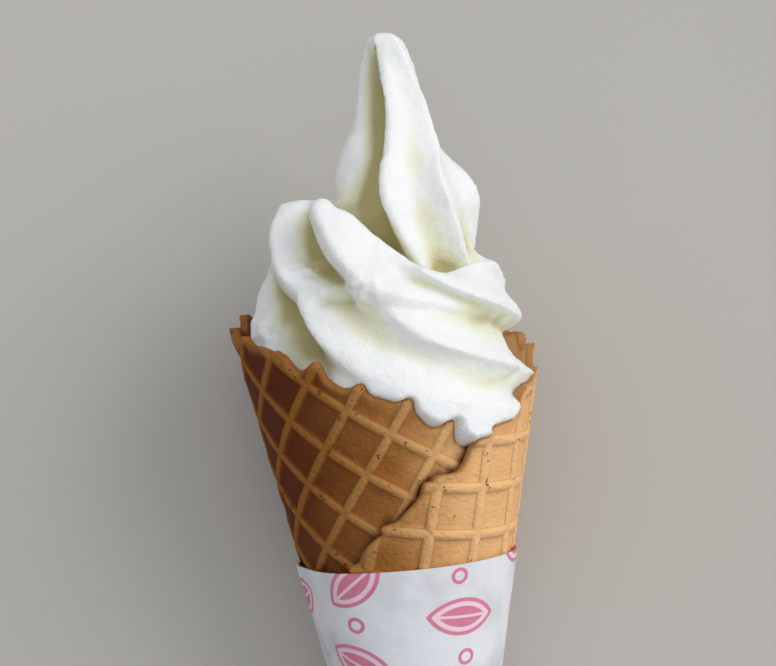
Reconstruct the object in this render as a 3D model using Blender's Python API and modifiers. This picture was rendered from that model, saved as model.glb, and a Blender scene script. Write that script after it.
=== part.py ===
"""Soft serve in a rolled waffle cone with a paper sleeve, lying on its back.

Each piece is modelled in the cone's own frame: the apex of the cone at the origin, +Z up its
axis, -Y toward the shown side and +X to the right. lay_down() then turns it onto the ground.
Azimuths run from the shown side toward +X. Lengths are in metres.
"""

import math

import bmesh
import bpy
import numpy as np
from mathutils import Matrix, Vector

MM = 0.001
TURN = 2 * math.pi

# The cone that the waffle is rolled on
HALF_ANGLE = math.radians(12.08)
FLAT_TURN = math.radians(69.8)  # part of the flat sheet that one turn of the cone takes up

# The baked waffle disc, seen flat, with the cone's apex as the pole of its polar coordinates
DISC_RADIUS = 86.7 * MM
DISC_DISTANCE = 90.2 * MM  # from the apex to the disc's centre
DISC_BEARING = math.radians(41.8)
PITCH = 10.4 * MM
GRID_TURN = math.radians(12.8)
GRID_START = (-2.25 * MM, -1.72 * MM)
PANEL = 1.4 * MM
RIDGE = 0.8 * MM
RIDGE_FOOT = 1.15 * MM  # half of a ridge's width
LAYER_STEP = 2.6 * MM  # how much the cone's wall grows in one turn of the sheet
CREST_START = 1.8 * MM  # how far the ridges stand off the cone at azimuth 0 of the outer layer
SHEET_TIP = 22 * MM  # the sheet ends this far from the apex
SHEET_ENDS = (math.radians(-28), math.radians(440))  # wrap angles of its outer and inner ends
RIM_BUMP = 1.2 * MM  # where a ridge runs into the edge, and in the waves between
RIM_WAVES = (41, 13)  # of the edge, per radian, and what makes them uneven
OUTLINE_STEPS = 150  # points of the sheet's outer edge
INNER_EVERY = 6  # the edge round the tip keeps one point in this many

# The paper sleeve
SLEEVE_TOP = 114.5 * MM
SLEEVE_FOOT = 13 * MM
SLEEVE_TIP = 9.5 * MM
PAPER = 0.4 * MM
LAP = 0.25 * MM
LAP_AZIMUTHS = (math.radians(-112), math.radians(-80))
FLAP_RAMP = math.radians(42)  # width of the paper's slope over the flap's edge
SLEEVE_STEPS = (7, 48)  # rings up it and sides round it
GAP = 0.3 * MM  # between touching pieces

# The soft serve: a ribbed rope, coiled into a squat body that leans back to the left, with a
# peak pulled up from it. Lengths in these rows are in mm, azimuths in degrees.
# The body, going up: level, lean to the right, radius, and the azimuths of its six ribs, which
# wind down to the right. A level is a height on the axis: the upper levels slope.
BODY = [
    (26, 0, 0.2, (-200, -130, -60, 0, 60, 130)),
    (28, 0, 3, (-200, -130, -60, 0, 60, 130)),
    (142, 0.5, 31, (-110, -30, 34, 90, 135, 185)),
    (150, 1, 32.8, (-95, -42, 2, 92, 150, 205)),
    (158, 0.8, 33, (-92, -54, -16, 66, 130, 190)),
    (166, 0.6, 31.8, (-105, -68, -31, 14, 95, 165)),
    (174, 0.7, 30, (-130, -80, -46, -2, 66, 135)),
    (181, 1.1, 27.8, (-150, -105, -75, -20, 12, 100)),
    (185.5, 1.6, 25.6, (-165, -125, -82, -36, 0, 84)),
    (188.5, 2.2, 22.4, (-170, -130, -84, -50, -8, 78)),
    (190.5, 4, 16.5, (-170, -130, -86, -62, -12, 76)),
    (191.5, 5.5, 9, (-170, -130, -86, -62, -12, 76)),
]
BODY_STEPS = 12  # rings from one row to the next
BODY_GROOVE = 0.16  # depth of a groove, as a share of the radius
RIB_STEPS = 8  # points from one rib to the next
BODY_SLOPE = -0.3  # rise of its upper levels per length to the right
SLOPE_LEVELS = (145, 185)  # in mm, where the slope starts and where it is full
FOLDS = (153, 170)  # levels in mm at which one turn of the rope lies on the turn below
FOLD_DEPTH = 2.2
FOLD_REACH = (5, 2, 1.2)  # in mm, of its swell above, its notch below and the slope between
LIP = 4.5  # in mm, how far the ribs stand up round the left of the body's top
LIP_AZIMUTH = -62
LIP_LEVELS = (177, 187)  # in mm, where it starts and where it is full
LIP_RADII = (14, 21)  # in mm, the same
TOP_SLOPE = 0.25  # rise of the body's top per length to the back
TOP_RADII = (26, 20)  # in mm, where the top starts and where its slope is full
# The peak, going up: height, lean to the right, radius, how far its ribs turn to the right
PEAK = [
    (172, 6, 12, 44),
    (178, 6.4, 15.5, 32),
    (184, 6.8, 17, 20),
    (190, 6.9, 17.5, 10),
    (196, 6.9, 18, 4),
    (201, 6.8, 16.2, 2),
    (206, 6.8, 13, 4),
    (212, 6.8, 10.3, 10),
    (219, 6.3, 9, 12),
    (227, 5.8, 7.3, 0),
    (232, 5.3, 5.9, -10),
    (235.6, 4.9, 4, -14),
]
PEAK_STEPS = 4
PEAK_GROOVE = 0.28
PEAK_RIBS = (-95, -23, 49, 121, 193)  # azimuths at its top
FOOT_RIBS = (-92, -22, 28, 92, 180)
WAIST = (200, 211)  # heights in mm between which the ribs pass from one to the other
VOXEL = 1.0 * MM
SERVE_GAP = 0.7 * MM  # between the filling and the waffle, at the rim
DEEP_GAP = 2.6 * MM  # the same at the tip
STEP_WIDTH = math.radians(12)  # of the filling's slope down into the step at the sheet's inner end
FLARE_START = 1.5 * MM  # how far under the rim the filling starts to bulge out over it
FLARE = 1.3  # how fast it does so, as a length out per length up

WAFFLE_TRIANGLES = 4900
SERVE_TRIANGLES = 3700

# How it lies
REST_TILT = math.radians(11.4)
FLAT_SPOT = 0.45 * MM  # depth of the flats that it rests on
SHARP = math.radians(40)


def smoothstep(t):
    t = min(1.0, max(0.0, t))
    return t * t * (3 - 2 * t)


def part_way(value, ends):
    """0 before the first end, 1 past the second, and smooth between them."""
    return smoothstep((value - ends[0]) / (ends[1] - ends[0]))


# ---------------------------------------------------------------- helpers on Blender objects


def object_from(bm, name):
    mesh = bpy.data.meshes.new(name)
    bm.to_mesh(mesh)
    bm.free()
    made = bpy.data.objects.new(name, mesh)
    bpy.context.scene.collection.objects.link(made)
    return made


def applied(thing):
    """Applies all of the object's modifiers."""
    graph = bpy.context.evaluated_depsgraph_get()
    mesh = bpy.data.meshes.new_from_object(thing.evaluated_get(graph))
    thing.modifiers.clear()
    thing.data = mesh
    return thing


def thin_out(thing, triangles):
    """Collapses the object's mesh to about this many triangles."""
    triangulate = thing.modifiers.new("triangles", "TRIANGULATE")
    triangulate.quad_method = "BEAUTY"
    applied(thing)
    collapse = thing.modifiers.new("thin", "DECIMATE")
    collapse.ratio = min(1, triangles / len(thing.data.polygons))
    collapse.use_collapse_triangulate = True
    return applied(thing)


def move_points(thing, rule):
    """Puts each vertex where rule says, from where it is."""
    for v in thing.data.vertices:
        v.co = rule(v.co)
    thing.data.update()


# ---------------------------------------------------------------- the waffle sheet


def ridge_share(u, v):
    """1 on a ridge's crest and 0 on a panel, in the grid's own coordinates on the flat sheet."""
    offsets = (u - GRID_START[0], v - GRID_START[1])
    nearest = min(abs((w + PITCH / 2) % PITCH - PITCH / 2) for w in offsets)
    return max(0.0, 1 - nearest / RIDGE_FOOT)


def grid_to_flat(u, v):
    c, s = math.cos(GRID_TURN), math.sin(GRID_TURN)
    return u * c - v * s, u * s + v * c


def flat_to_grid(x, y):
    c, s = math.cos(GRID_TURN), math.sin(GRID_TURN)
    return x * c + y * s, y * c - x * s


def disc_span(bearing):
    """Distances from the apex to the near and the far side of the disc."""
    middle = DISC_DISTANCE * math.cos(bearing - DISC_BEARING)
    offset = DISC_DISTANCE * math.sin(bearing - DISC_BEARING)
    half = math.sqrt(max(0, DISC_RADIUS**2 - offset**2))
    return middle - half, middle + half


def crest_radius(wrap, height):
    """Radius of the sheet's ridge crests at this wrap angle and height up the axis."""
    return height * math.tan(HALF_ANGLE) + CREST_START - LAYER_STEP * wrap / TURN


def roll_up(point):
    """Takes a point of the flat slab, whose panels are at z = 0, onto the cone."""
    slant = math.hypot(point.x, point.y)
    wrap = math.atan2(point.y, point.x) / FLAT_TURN * TURN
    height = slant * math.cos(HALF_ANGLE)
    radius = crest_radius(wrap, height) - RIDGE + point.z
    return Vector((radius * math.sin(wrap), -radius * math.cos(wrap), height))


def sheet_outline():
    """The part of the disc that is kept, with the bumps that its ridges make in the edge."""
    bearings = np.linspace(*(wrap / TURN * FLAT_TURN for wrap in SHEET_ENDS), OUTLINE_STEPS)
    far, near = [], []
    for b in bearings:
        start, end = disc_span(b)
        bump = ridge_share(*flat_to_grid(end * math.cos(b), end * math.sin(b)))
        wave = math.sin(RIM_WAVES[0] * b + 2 * math.sin(RIM_WAVES[1] * b))
        end += RIM_BUMP * (bump - 0.4 + 0.5 * wave)
        start = max(start, SHEET_TIP)
        far.append((end * math.cos(b), end * math.sin(b)))
        near.append((start * math.cos(b), start * math.sin(b)))
    return far + near[::-INNER_EVERY]


def ridged_slab():
    """A flat slab with ridges on top, each ridge a crest between two feet."""
    cells = math.ceil(2 * (DISC_DISTANCE + DISC_RADIUS) / PITCH)
    centre = (DISC_DISTANCE * math.cos(DISC_BEARING), DISC_DISTANCE * math.sin(DISC_BEARING))
    bm = bmesh.new()
    bmesh.ops.create_grid(bm, x_segments=3 * cells, y_segments=3 * cells, size=0.5)
    line_step = 1 / (3 * cells)
    for v in bm.verts:
        grid = []
        for axis in (0, 1):
            cell, line = divmod(round((v.co[axis] + 0.5) / line_step), 3)
            grid.append(GRID_START[axis] + (cell - cells // 2) * PITCH + (line - 1) * RIDGE_FOOT)
        v.co = (*grid_to_flat(*grid), RIDGE * ridge_share(*grid))
    outside = [v for v in bm.verts if math.dist(v.co.xy, centre) > DISC_RADIUS + PITCH]
    bmesh.ops.delete(bm, geom=outside, context="VERTS")
    top = bm.faces[:]
    bottom = bmesh.ops.extrude_face_region(bm, geom=top, use_keep_orig=True)["geom"]
    for v in bottom:
        if isinstance(v, bmesh.types.BMVert):
            v.co.z = -PANEL
    bmesh.ops.recalc_face_normals(bm, faces=bm.faces)
    return object_from(bm, "ridged_slab")


def outline_cutter():
    bm = bmesh.new()
    depth = 5 * MM
    face = bm.faces.new([bm.verts.new((x, y, -depth)) for x, y in sheet_outline()])
    lid = bmesh.ops.extrude_face_region(bm, geom=[face], use_keep_orig=True)["geom"]
    for v in lid:
        if isinstance(v, bmesh.types.BMVert):
            v.co.z = depth
    bmesh.ops.recalc_face_normals(bm, faces=bm.faces)
    return object_from(bm, "outline_cutter")


def waffle_cone():
    cone, cutter = ridged_slab(), outline_cutter()
    cone.name = cone.data.name = "waffle_cone"
    cut = cone.modifiers.new("outline", "BOOLEAN")
    cut.operation, cut.object = "INTERSECT", cutter
    cone.modifiers.new("triangles", "TRIANGULATE")
    applied(cone)
    bpy.data.objects.remove(cutter)
    move_points(cone, roll_up)
    cone.data.flip_normals()  # rolling swaps left and right
    return thin_out(cone, WAFFLE_TRIANGLES)


# ---------------------------------------------------------------- the paper sleeve


def hug(azimuth):
    """How far the paper's inner face stands off the cone: it follows the outer layer's ridges
    and slopes over the flap's edge."""
    wrap = (azimuth - SHEET_ENDS[0]) % TURN + SHEET_ENDS[0]
    slope = smoothstep((wrap - SHEET_ENDS[0] - TURN + FLAP_RAMP) / FLAP_RAMP)
    return CREST_START + GAP + LAYER_STEP * (slope - wrap / TURN)


def paper_sleeve():
    """A turned profile of the paper cone, moved out to hug the waffle."""
    flare = math.tan(HALF_ANGLE)
    rows, sides = SLEEVE_STEPS
    heights = np.linspace(SLEEVE_FOOT, SLEEVE_TOP, rows)
    outer = [(0, SLEEVE_TIP)] + [(h * flare + PAPER, h) for h in heights]
    inner = [(h * flare, h) for h in heights[::-1]] + [(0, SLEEVE_TIP + PAPER)]
    bm = bmesh.new()
    corners = [bm.verts.new((0, -r, h)) for r, h in outer + inner]
    edges = [bm.edges.new(pair) for pair in zip(corners, corners[1:])]
    bmesh.ops.spin(
        bm,
        geom=corners + edges,
        cent=(0, 0, 0),
        axis=(0, 0, 1),
        angle=TURN,
        steps=sides,
        use_merge=True,
    )
    bmesh.ops.remove_doubles(bm, verts=bm.verts, dist=0.001 * MM)
    for v in bm.verts:
        radius = math.hypot(v.co.x, v.co.y)
        if radius < 0.01 * MM:
            continue
        azimuth = math.atan2(v.co.x, -v.co.y)
        out = hug(azimuth)
        if radius > v.co.z * flare + PAPER / 2 and LAP_AZIMUTHS[0] < azimuth < LAP_AZIMUTHS[1]:
            out += LAP
        v.co.xy *= 1 + out / radius
    bmesh.ops.recalc_face_normals(bm, faces=bm.faces)
    return object_from(bm, "paper_sleeve")


# ---------------------------------------------------------------- the soft serve


def ring(centre, radius, ribs, groove):
    """A level star section: it reaches the radius at each rib, and less in the grooves between."""
    points = []
    for start, end in zip(ribs, (*ribs[1:], ribs[0] + 360)):
        for t in np.arange(RIB_STEPS) / RIB_STEPS:
            azimuth = math.radians(start + t * (end - start))
            reach = radius * (1 - groove * math.sin(math.pi * t))
            points.append(centre + Vector((reach * math.sin(azimuth), -reach * math.cos(azimuth), 0)))
    return points


def loft(rings, name):
    """A closed skin over rings of equally many points."""
    bm = bmesh.new()
    rows = [[bm.verts.new(p * MM) for p in points] for points in rings]
    for low, high in zip(rows, rows[1:]):
        for k in range(len(low)):
            bm.faces.new((low[k - 1], low[k], high[k], high[k - 1]))
    bm.faces.new(rows[0][::-1])
    bm.faces.new(rows[-1])
    bmesh.ops.triangulate(bm, faces=bm.faces)
    bmesh.ops.recalc_face_normals(bm, faces=bm.faces)
    return object_from(bm, name)


def through(rows, at):
    """A smooth curve (Catmull-Rom) through the rows, at this many rows from the start."""
    start = min(int(at), len(rows) - 2)
    t = at - start
    nearest = (rows[max(0, min(k, len(rows) - 1))] for k in range(start - 1, start + 3))
    a, b, c, d = (np.hstack(row).astype(float) for row in nearest)
    return b + t / 2 * (c - a + t * (2 * a - 5 * b + 4 * c - d + t * (3 * b - a - 3 * c + d)))


def between_rows(rows, steps):
    """Places along the rows at which through() is read."""
    return np.arange((len(rows) - 1) * steps + 1) / steps


def fold(level):
    """How far a turn of the rope stands out: most just over a fold, least just under it."""
    out = 0
    for at in FOLDS:
        above = level - at
        if above > 0:
            out += math.exp(-above / FOLD_REACH[0]) * smoothstep(above / FOLD_REACH[2])
        else:
            out -= math.exp(above / FOLD_REACH[1])
    return out * FOLD_DEPTH / 2


def body():
    rings = []
    for at in between_rows(BODY, BODY_STEPS):
        level, lean, radius, *ribs = through(BODY, at)
        centre = Vector((lean, 0, level))
        reach = max(BODY[0][2], radius + fold(level))
        points = ring(centre, reach, ribs, BODY_GROOVE)
        to_right = BODY_SLOPE * part_way(level, SLOPE_LEVELS)
        to_back = TOP_SLOPE * part_way(level, LIP_LEVELS) * part_way(radius, TOP_RADII)
        lip = LIP * part_way(level, LIP_LEVELS) * part_way(radius, LIP_RADII)
        for p in points:
            on_rib = 1 - (1 - (p - centre).length / reach) / BODY_GROOVE
            azimuth = math.degrees(math.atan2(p.x - lean, -p.y))
            near = max(0, math.cos(math.radians(azimuth - LIP_AZIMUTH))) ** 2
            p.z += to_right * p.x + to_back * p.y + lip * on_rib * near
        rings.append(points)
    return loft(rings, "body")


def peak():
    rings = []
    for at in between_rows(PEAK, PEAK_STEPS):
        height, lean, radius, turn = through(PEAK, at)
        t = part_way(height, WAIST)
        ribs = [foot + t * (top - foot) + turn for foot, top in zip(FOOT_RIBS, PEAK_RIBS)]
        rings.append(ring(Vector((lean, 0, height)), radius, ribs, PEAK_GROOVE))
    return loft(rings, "peak")


def room(azimuth, height):
    """Largest radius that the filling may have here, inside every layer of the sheet."""
    limit = math.inf
    gap = SERVE_GAP + (DEEP_GAP - SERVE_GAP) * max(0, 1 - height / SLEEVE_TOP)
    first = azimuth % TURN - TURN
    for wrap in (first, first + TURN, first + 2 * TURN):
        if not SHEET_ENDS[0] <= wrap <= SHEET_ENDS[1]:
            continue
        rim = disc_span(wrap / TURN * FLAT_TURN)[1] * math.cos(HALF_ANGLE)
        over_rim = max(0, height - rim + FLARE_START) * FLARE
        limit = min(limit, crest_radius(wrap, height) - RIDGE - PANEL - gap + over_rim)
    return limit


def press_in(point):
    radius = math.hypot(point.x, point.y)
    azimuth = math.atan2(point.x, -point.y)
    limit = min(room(azimuth + turn, point.z) for turn in (-STEP_WIDTH, 0, STEP_WIDTH))
    if radius <= limit:
        return point
    share = max(limit, 0.5 * MM) / radius
    return Vector((point.x * share, point.y * share, point.z))


def soft_serve():
    pieces = [body(), peak()]
    bm = bmesh.new()
    for piece in pieces:
        bm.from_mesh(piece.data)
        bpy.data.objects.remove(piece)
    serve = object_from(bm, "soft_serve")
    remesh = serve.modifiers.new("one skin", "REMESH")
    remesh.mode, remesh.voxel_size = "VOXEL", VOXEL
    smooth = serve.modifiers.new("soften", "SMOOTH")
    smooth.factor, smooth.iterations = 0.5, 2
    applied(serve)
    move_points(serve, press_in)
    return thin_out(serve, SERVE_TRIANGLES)


# ---------------------------------------------------------------- lying down


def lay_down(pieces, lowest):
    """Turns the upright pieces onto their backs, the deepest point of lowest in the ground.
    Returns where the cone's apex comes to be."""
    onto_back = Matrix.Rotation(REST_TILT - math.pi / 2, 3, "X")
    for piece in pieces:
        move_points(piece, lambda p: onto_back @ p)
    points = [v.co for piece in pieces for v in piece.data.vertices]
    middle = [(min(p[i] for p in points) + max(p[i] for p in points)) / 2 for i in (0, 1)]
    ground = min(v.co.z for v in lowest.data.vertices) + FLAT_SPOT
    apex = Vector((-middle[0], -middle[1], -ground))
    for piece in pieces:
        move_points(piece, lambda p: p + apex)
    return apex


def flatten(cone, sleeve, apex):
    """Presses small flats where the sleeve and the waffle's rim meet the ground."""
    up_axis = Vector((0, math.cos(REST_TILT), math.sin(REST_TILT)))
    for v in sleeve.data.vertices:
        inside = v.normal.z > 0
        v.co.z = max(v.co.z, PAPER if inside else 0)
    for v in cone.data.vertices:
        in_sleeve = (v.co - apex).dot(up_axis) < SLEEVE_TOP + PITCH / 4
        v.co.z = max(v.co.z, PAPER + GAP if in_sleeve else 0)


# ---------------------------------------------------------------- finish


def finish(piece, colour, roughness):
    made = bpy.data.materials.new(piece.name)
    made.use_nodes = True
    shader = made.node_tree.nodes["Principled BSDF"]
    shader.inputs["Base Color"].default_value = (*colour, 1)
    shader.inputs["Roughness"].default_value = roughness
    shader.inputs["Metallic"].default_value = 0
    piece.data.materials.clear()
    piece.data.materials.append(made)


def main():
    for old in list(bpy.data.objects):
        bpy.data.objects.remove(old)
    cone, serve, sleeve = waffle_cone(), soft_serve(), paper_sleeve()
    apex = lay_down([cone, serve, sleeve], lowest=sleeve)
    flatten(cone, sleeve, apex)
    finish(cone, (0.52, 0.27, 0.09), 0.75)
    finish(serve, (0.88, 0.87, 0.76), 0.4)
    finish(sleeve, (0.82, 0.81, 0.82), 0.7)
    parts = bpy.data.collections.new("soft_serve_cone")
    bpy.context.scene.collection.children.link(parts)
    for piece in (cone, serve, sleeve):
        piece.data.shade_smooth()
        piece.data.set_sharp_from_angle(angle=SHARP)
        bpy.context.scene.collection.objects.unlink(piece)
        parts.objects.link(piece)


main()
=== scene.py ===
"""Soft serve in a rolled waffle cone with a paper sleeve, lying on its back.

Each piece is modelled in the cone's own frame: the apex of the cone at the origin, +Z up its
axis, -Y toward the shown side and +X to the right. lie() then turns it onto the ground.
Azimuths run from the shown side toward +X. Lengths are in metres where nothing else is said.
"""

import math

import bpy
import numpy as np
from mathutils import Matrix, Vector, noise


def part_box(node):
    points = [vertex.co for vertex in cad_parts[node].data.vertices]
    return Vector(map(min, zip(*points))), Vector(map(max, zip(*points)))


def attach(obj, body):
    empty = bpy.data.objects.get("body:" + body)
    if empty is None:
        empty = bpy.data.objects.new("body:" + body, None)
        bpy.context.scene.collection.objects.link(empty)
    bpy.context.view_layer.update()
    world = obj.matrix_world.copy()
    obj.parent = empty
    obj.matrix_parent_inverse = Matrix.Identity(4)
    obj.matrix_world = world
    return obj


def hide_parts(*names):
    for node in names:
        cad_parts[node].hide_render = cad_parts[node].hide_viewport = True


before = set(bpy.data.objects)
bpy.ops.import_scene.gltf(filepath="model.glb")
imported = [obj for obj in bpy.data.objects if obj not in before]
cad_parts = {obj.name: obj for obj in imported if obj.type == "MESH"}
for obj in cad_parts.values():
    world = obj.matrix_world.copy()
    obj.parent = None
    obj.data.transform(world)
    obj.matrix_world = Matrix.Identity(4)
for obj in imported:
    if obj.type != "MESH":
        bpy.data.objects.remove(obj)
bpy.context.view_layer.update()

MM = 0.001
TURN = 2 * math.pi

# How it lies
REST_TILT = math.radians(11.4)
SLEEVE_TIP = 9.5 * MM
APEX_INSIDE = 25.3 * MM  # the axis is this far inside the sleeve's left side
APEX_HEIGHT = 2.1 * MM
SLEEVE_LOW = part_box("paper_sleeve")[0]
APEX = Vector(
    (
        SLEEVE_LOW.x + APEX_INSIDE,
        SLEEVE_LOW.y - SLEEVE_TIP * math.cos(REST_TILT),
        APEX_HEIGHT,
    )
)
ONTO_BACK = Matrix.Rotation(REST_TILT - math.pi / 2, 4, "X")
LYING = Matrix.Translation(APEX) @ ONTO_BACK

# The cone that the waffle is rolled on
HALF_ANGLE = math.radians(12.08)
FLAT_TURN = math.radians(69.8)  # part of the flat sheet that one turn of the cone takes up

# The baked waffle disc, seen flat, with the cone's apex as the pole of its polar coordinates
DISC_RADIUS = 86.7 * MM
DISC_DISTANCE = 90.2 * MM
DISC_BEARING = math.radians(41.8)
DISC_MIDDLE = (DISC_DISTANCE * math.cos(DISC_BEARING), DISC_DISTANCE * math.sin(DISC_BEARING))
PITCH = 10.4 * MM  # from ridge to ridge
GRID_TURN = math.radians(12.8)
GRID_START = (-2.25 * MM, -1.72 * MM)  # where two of the ridges cross
PANEL = 1.4 * MM  # thickness between the ridges
RIDGE = 0.8 * MM  # height of the ridges over the panels
RIDGE_FOOT = 1.4 * MM  # half a ridge's width
RIDGE_SECTION = (2.4, 1.1)  # powers that round it
NARROWED = (0.1, 1.6 * MM)  # share of its width that a ridge loses at a crossing, and how near
DIPPED = (0.12, 0.9 * MM)  # and the same for its height
LAYER_STEP = 2.6 * MM  # how much narrower the sheet is after each turn
CREST_START = 1.8 * MM  # how far the crests stand off the cone where the turns start
# The flap's edge has a painted shadow beside it, over this reach
CREVICE = 0.9 * MM  # reach of the dark line beside the flap's edge
SHEET_TIP = 22 * MM  # where the sheet starts, from the apex
SHEET_ENDS = (math.radians(-28), math.radians(440))  # outer and inner end, as wrap angles
RIM_BUMP = 2.1 * MM  # how far the rim stands out at the ends of the ridges
RIM_LOBE = 1.7 * MM  # how wide these lobes are
RIM_WAVES = (41, 13, 0.35)  # waves round the disc, how they wander, their share of a lobe
RIM_SOFT = 0.8 * MM  # width of the worn edge
RIM_SWELL = (0.6, 1.3, 1.1)  # in mm: the panels' rise along the rim, its middle and half width
RIM_SWELL_LOST = 0.7  # share of this rise that the ridges lack
WAFFLE_ROUGH = ((6, 3, 0.12, 0), (1.6, 2, 0.09, 7))  # layers for uneven()
OUTLINE_STEPS = 900
INNER_SKIP = 6  # the outline's near side has a point for every sixth on the rim
RIDGE_LINES = (-1.4, -1.05, -0.55, 0, 0.55, 1.05, 1.4)  # in mm across a ridge
PANEL_LINES = 3
CUTTER_LEVELS = (-5, -1.1, -0.7, -0.3, 0.1, 0.5, 5)  # in mm
SPARE_RIM, SPARE_TIP, SPARE_WRAP = 3 * MM, 4 * MM, math.radians(12)  # left on before the cut
FINE_WRAP = math.radians(345)  # the mesh is fine up to here, on what shows

# The paper sleeve
SLEEVE_TOP = 114.5 * MM
SLEEVE_FOOT = 13 * MM
PAPER = 0.4 * MM
LAP = 0.25 * MM  # how far the lap stands out
LAP_AZIMUTHS = (math.radians(-112), math.radians(-80))
LAP_RAMP = 0.02
FLAP_RAMP = math.radians(42)  # over this angle the paper slopes over the flap's edge
SLEEVE_STEPS = (110, 220)
GAP = 0.3 * MM
PAPER_ROUGH = ((22, 2, 0.14, 3), (7, 2, 0.05, 5))  # layers for uneven()
CALM_FOOT = 10 * MM  # the wrinkles start over this length from the foot
UV_PER_METRE = 10

# The soft serve: a ribbed rope in two turns, with a peak pulled up from it. Lengths in these
# rows are in mm, azimuths in degrees. Each row of a turn is: level, lean to the right, radius,
# and the azimuths of its six ribs. A level is a height on the axis: the upper levels slope.
LOWER_TURN = [
    (26, 0, 0.2, (-110, -40, 20, 80, 140, 200)),
    (28, 0, 3, (-110, -40, 20, 80, 140, 200)),
    (132, 0.5, 31, (-24, 50, 122, 172, 222, 282)),
    (142, 0.7, 33, (-36, 72, 118, 165, 218, 278)),
    (147, 0.9, 33.3, (-42, 58, 108, 160, 212, 272)),
    (149.7, 1, 33.1, (-46, 34, 100, 156, 209, 270)),
    (152, 1, 33.1, (-50, 4, 93, 152, 206, 266)),
    (155, 1, 33.3, (-57, -8, 87, 148, 202, 262)),
    (158, 1, 33.3, (-63, -17, 66, 142, 197, 258)),
    (161, 1, 33, (-68, -25, 40, 136, 191, 250)),
    (164, 1, 32.4, (-72, -31, 19, 132, 186, 245)),
    (167, 1, 31.6, (-75, -36, 9, 128, 180, 240)),
    (170, 0.9, 30.6, (-77, -40, 1.5, 125, 178, 235)),
    (173, 0.8, 29.1, (-78, -43, -0.5, 122, 176, 232)),
    (176, 0.8, 26.5, (-79, -45, -2, 120, 174, 230)),
    (178, 1, 20, (-79, -45, -2, 120, 174, 230)),
    (179, 1, 8, (-79, -45, -2, 120, 174, 230)),
]
UPPER_TURN = [
    (166, 0.6, 16, (-45, 6, 95, 150, 196, 250)),
    (169, 0.6, 25, (-46, 4, 93, 148, 196, 250)),
    (171.5, 0.6, 28.8, (-47, 0, 91, 146, 195, 248)),
    (174, 0.7, 30.6, (-49, -5, 87, 143, 193, 246)),
    (176, 0.8, 30.8, (-52, -9, 66, 138, 190, 242)),
    (178, 0.8, 30.1, (-56, -14, 36, 130, 186, 238)),
    (180, 0.9, 29.2, (-61, -21, 21, 119, 181, 235)),
    (182, 1.1, 28.4, (-66, -27, 15, 107, 175, 232)),
    (184.5, 1.5, 27.4, (-70, -35, 17, 93, 167, 229)),
    (187, 2, 26.2, (-74, -41, 18, 78, 158, 226)),
    (189, 2.4, 24.2, (-77, -45, 18, 70, 150, 224)),
    (190.5, 4, 18, (-79, -47, 18, 66, 146, 222)),
    (191.5, 5.5, 9, (-79, -47, 18, 66, 146, 222)),
]
TURN_STEPS = 9  # sections from one row to the next
RIB_STEPS = 44  # points from one rib to the next
# For each groove, right of its rib: depth as a share of the radius, how far the rib's crest
# stays broad, where it is deepest, and the levels in mm between which it gets its depth
AT_RIM = (140, 153)
LOWER_GROOVES = (
    (0.23, 0, 0.68, (151, 163)),
    (0.12, 0.04, 0.5, (145, 153)),
    (0.17, 0, 0.7, AT_RIM),
    (0.15, 0, 0.6, AT_RIM),
    (0.15, 0, 0.6, AT_RIM),
    (0.15, 0, 0.6, AT_RIM),
)
UPPER_GROOVES = (
    (0.28, 0.08, 0.45, (169.5, 178)),
    (0.14, 0.08, 0.7, AT_RIM),
    (0.12, 0.04, 0.5, (178, 186)),
    (0.13, 0, 0.6, AT_RIM),
    (0.15, 0, 0.6, AT_RIM),
    (0.15, 0, 0.6, AT_RIM),
)
PEAK_GROOVES = (
    (0.44, 0.05, 0.8, AT_RIM),
    (0.24, 0.1, 0.55, AT_RIM),
    (0.28, 0.02, 0.6, AT_RIM),
    (0.28, 0.02, 0.6, AT_RIM),
    (0.28, 0.02, 0.6, AT_RIM),
)
GROOVE_FALL, GROOVE_CLIMB = 1.6, 2  # powers of a groove's two sides
SLOPE = -0.3  # rise of the turns' upper levels per length to the right
SLOPE_LEVELS = (145, 185)
LIP = 5.8  # in mm, how far the ribs stand up round the left of the upper turn
LIP_NOTCH = 0.12  # share of this that is lost in the grooves
LIP_LEFT = 5  # power of its fall to the left of the horn
LIP_FLAT = 10  # how far it runs level to the right of the horn, in degrees
LIP_RIGHT = 24  # and how soon it falls off from there
LIP_LEVELS = (177, 187)
LIP_RADII = (14, 21)
HORN = (-45, 13, 0.8)  # the rib that ends as a horn: azimuth, half its width, extra height
TOP_SLOPE = 0.45  # rise of the top per length to the back
TOP_DIP = (24, 27, 6)  # in front of the peak's foot: azimuth, half its width, depth
DIP_RADII = (30, 25)
DOME = (-66, 12, 2.2)  # the round top left of the horn: azimuth, half its width, height
TOP_RADII = (26, 20)
# The peak, going up: height, lean to the right, radius, how far its ribs turn to the right
PEAK = [
    (172, 6, 12, 44),
    (178, 6.4, 15.5, 32),
    (184, 6.8, 17, 20),
    (190, 6.9, 17.5, 10),
    (196, 6.9, 18, 4),
    (201, 6.8, 16.2, 2),
    (206, 6.8, 13, 2),
    (212, 6.8, 10.3, 3),
    (219, 6.3, 9, 4),
    (227, 5.8, 7.3, -6),
    (232, 5.3, 5.9, -12),
    (234.5, 5, 4.7, -13),
    (235.5, 4.9, 3, -14),
    (235.9, 4.9, 0.8, -14),
]
PEAK_STEPS = 11
PEAK_RIB_STEPS = 32
PEAK_RIBS = (-95, -23, 49, 121, 193)  # azimuths of its ribs above the waist
FOOT_RIBS = (-92, -22, 28, 92, 180)  # and below it
WAIST = (200, 211)
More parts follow.
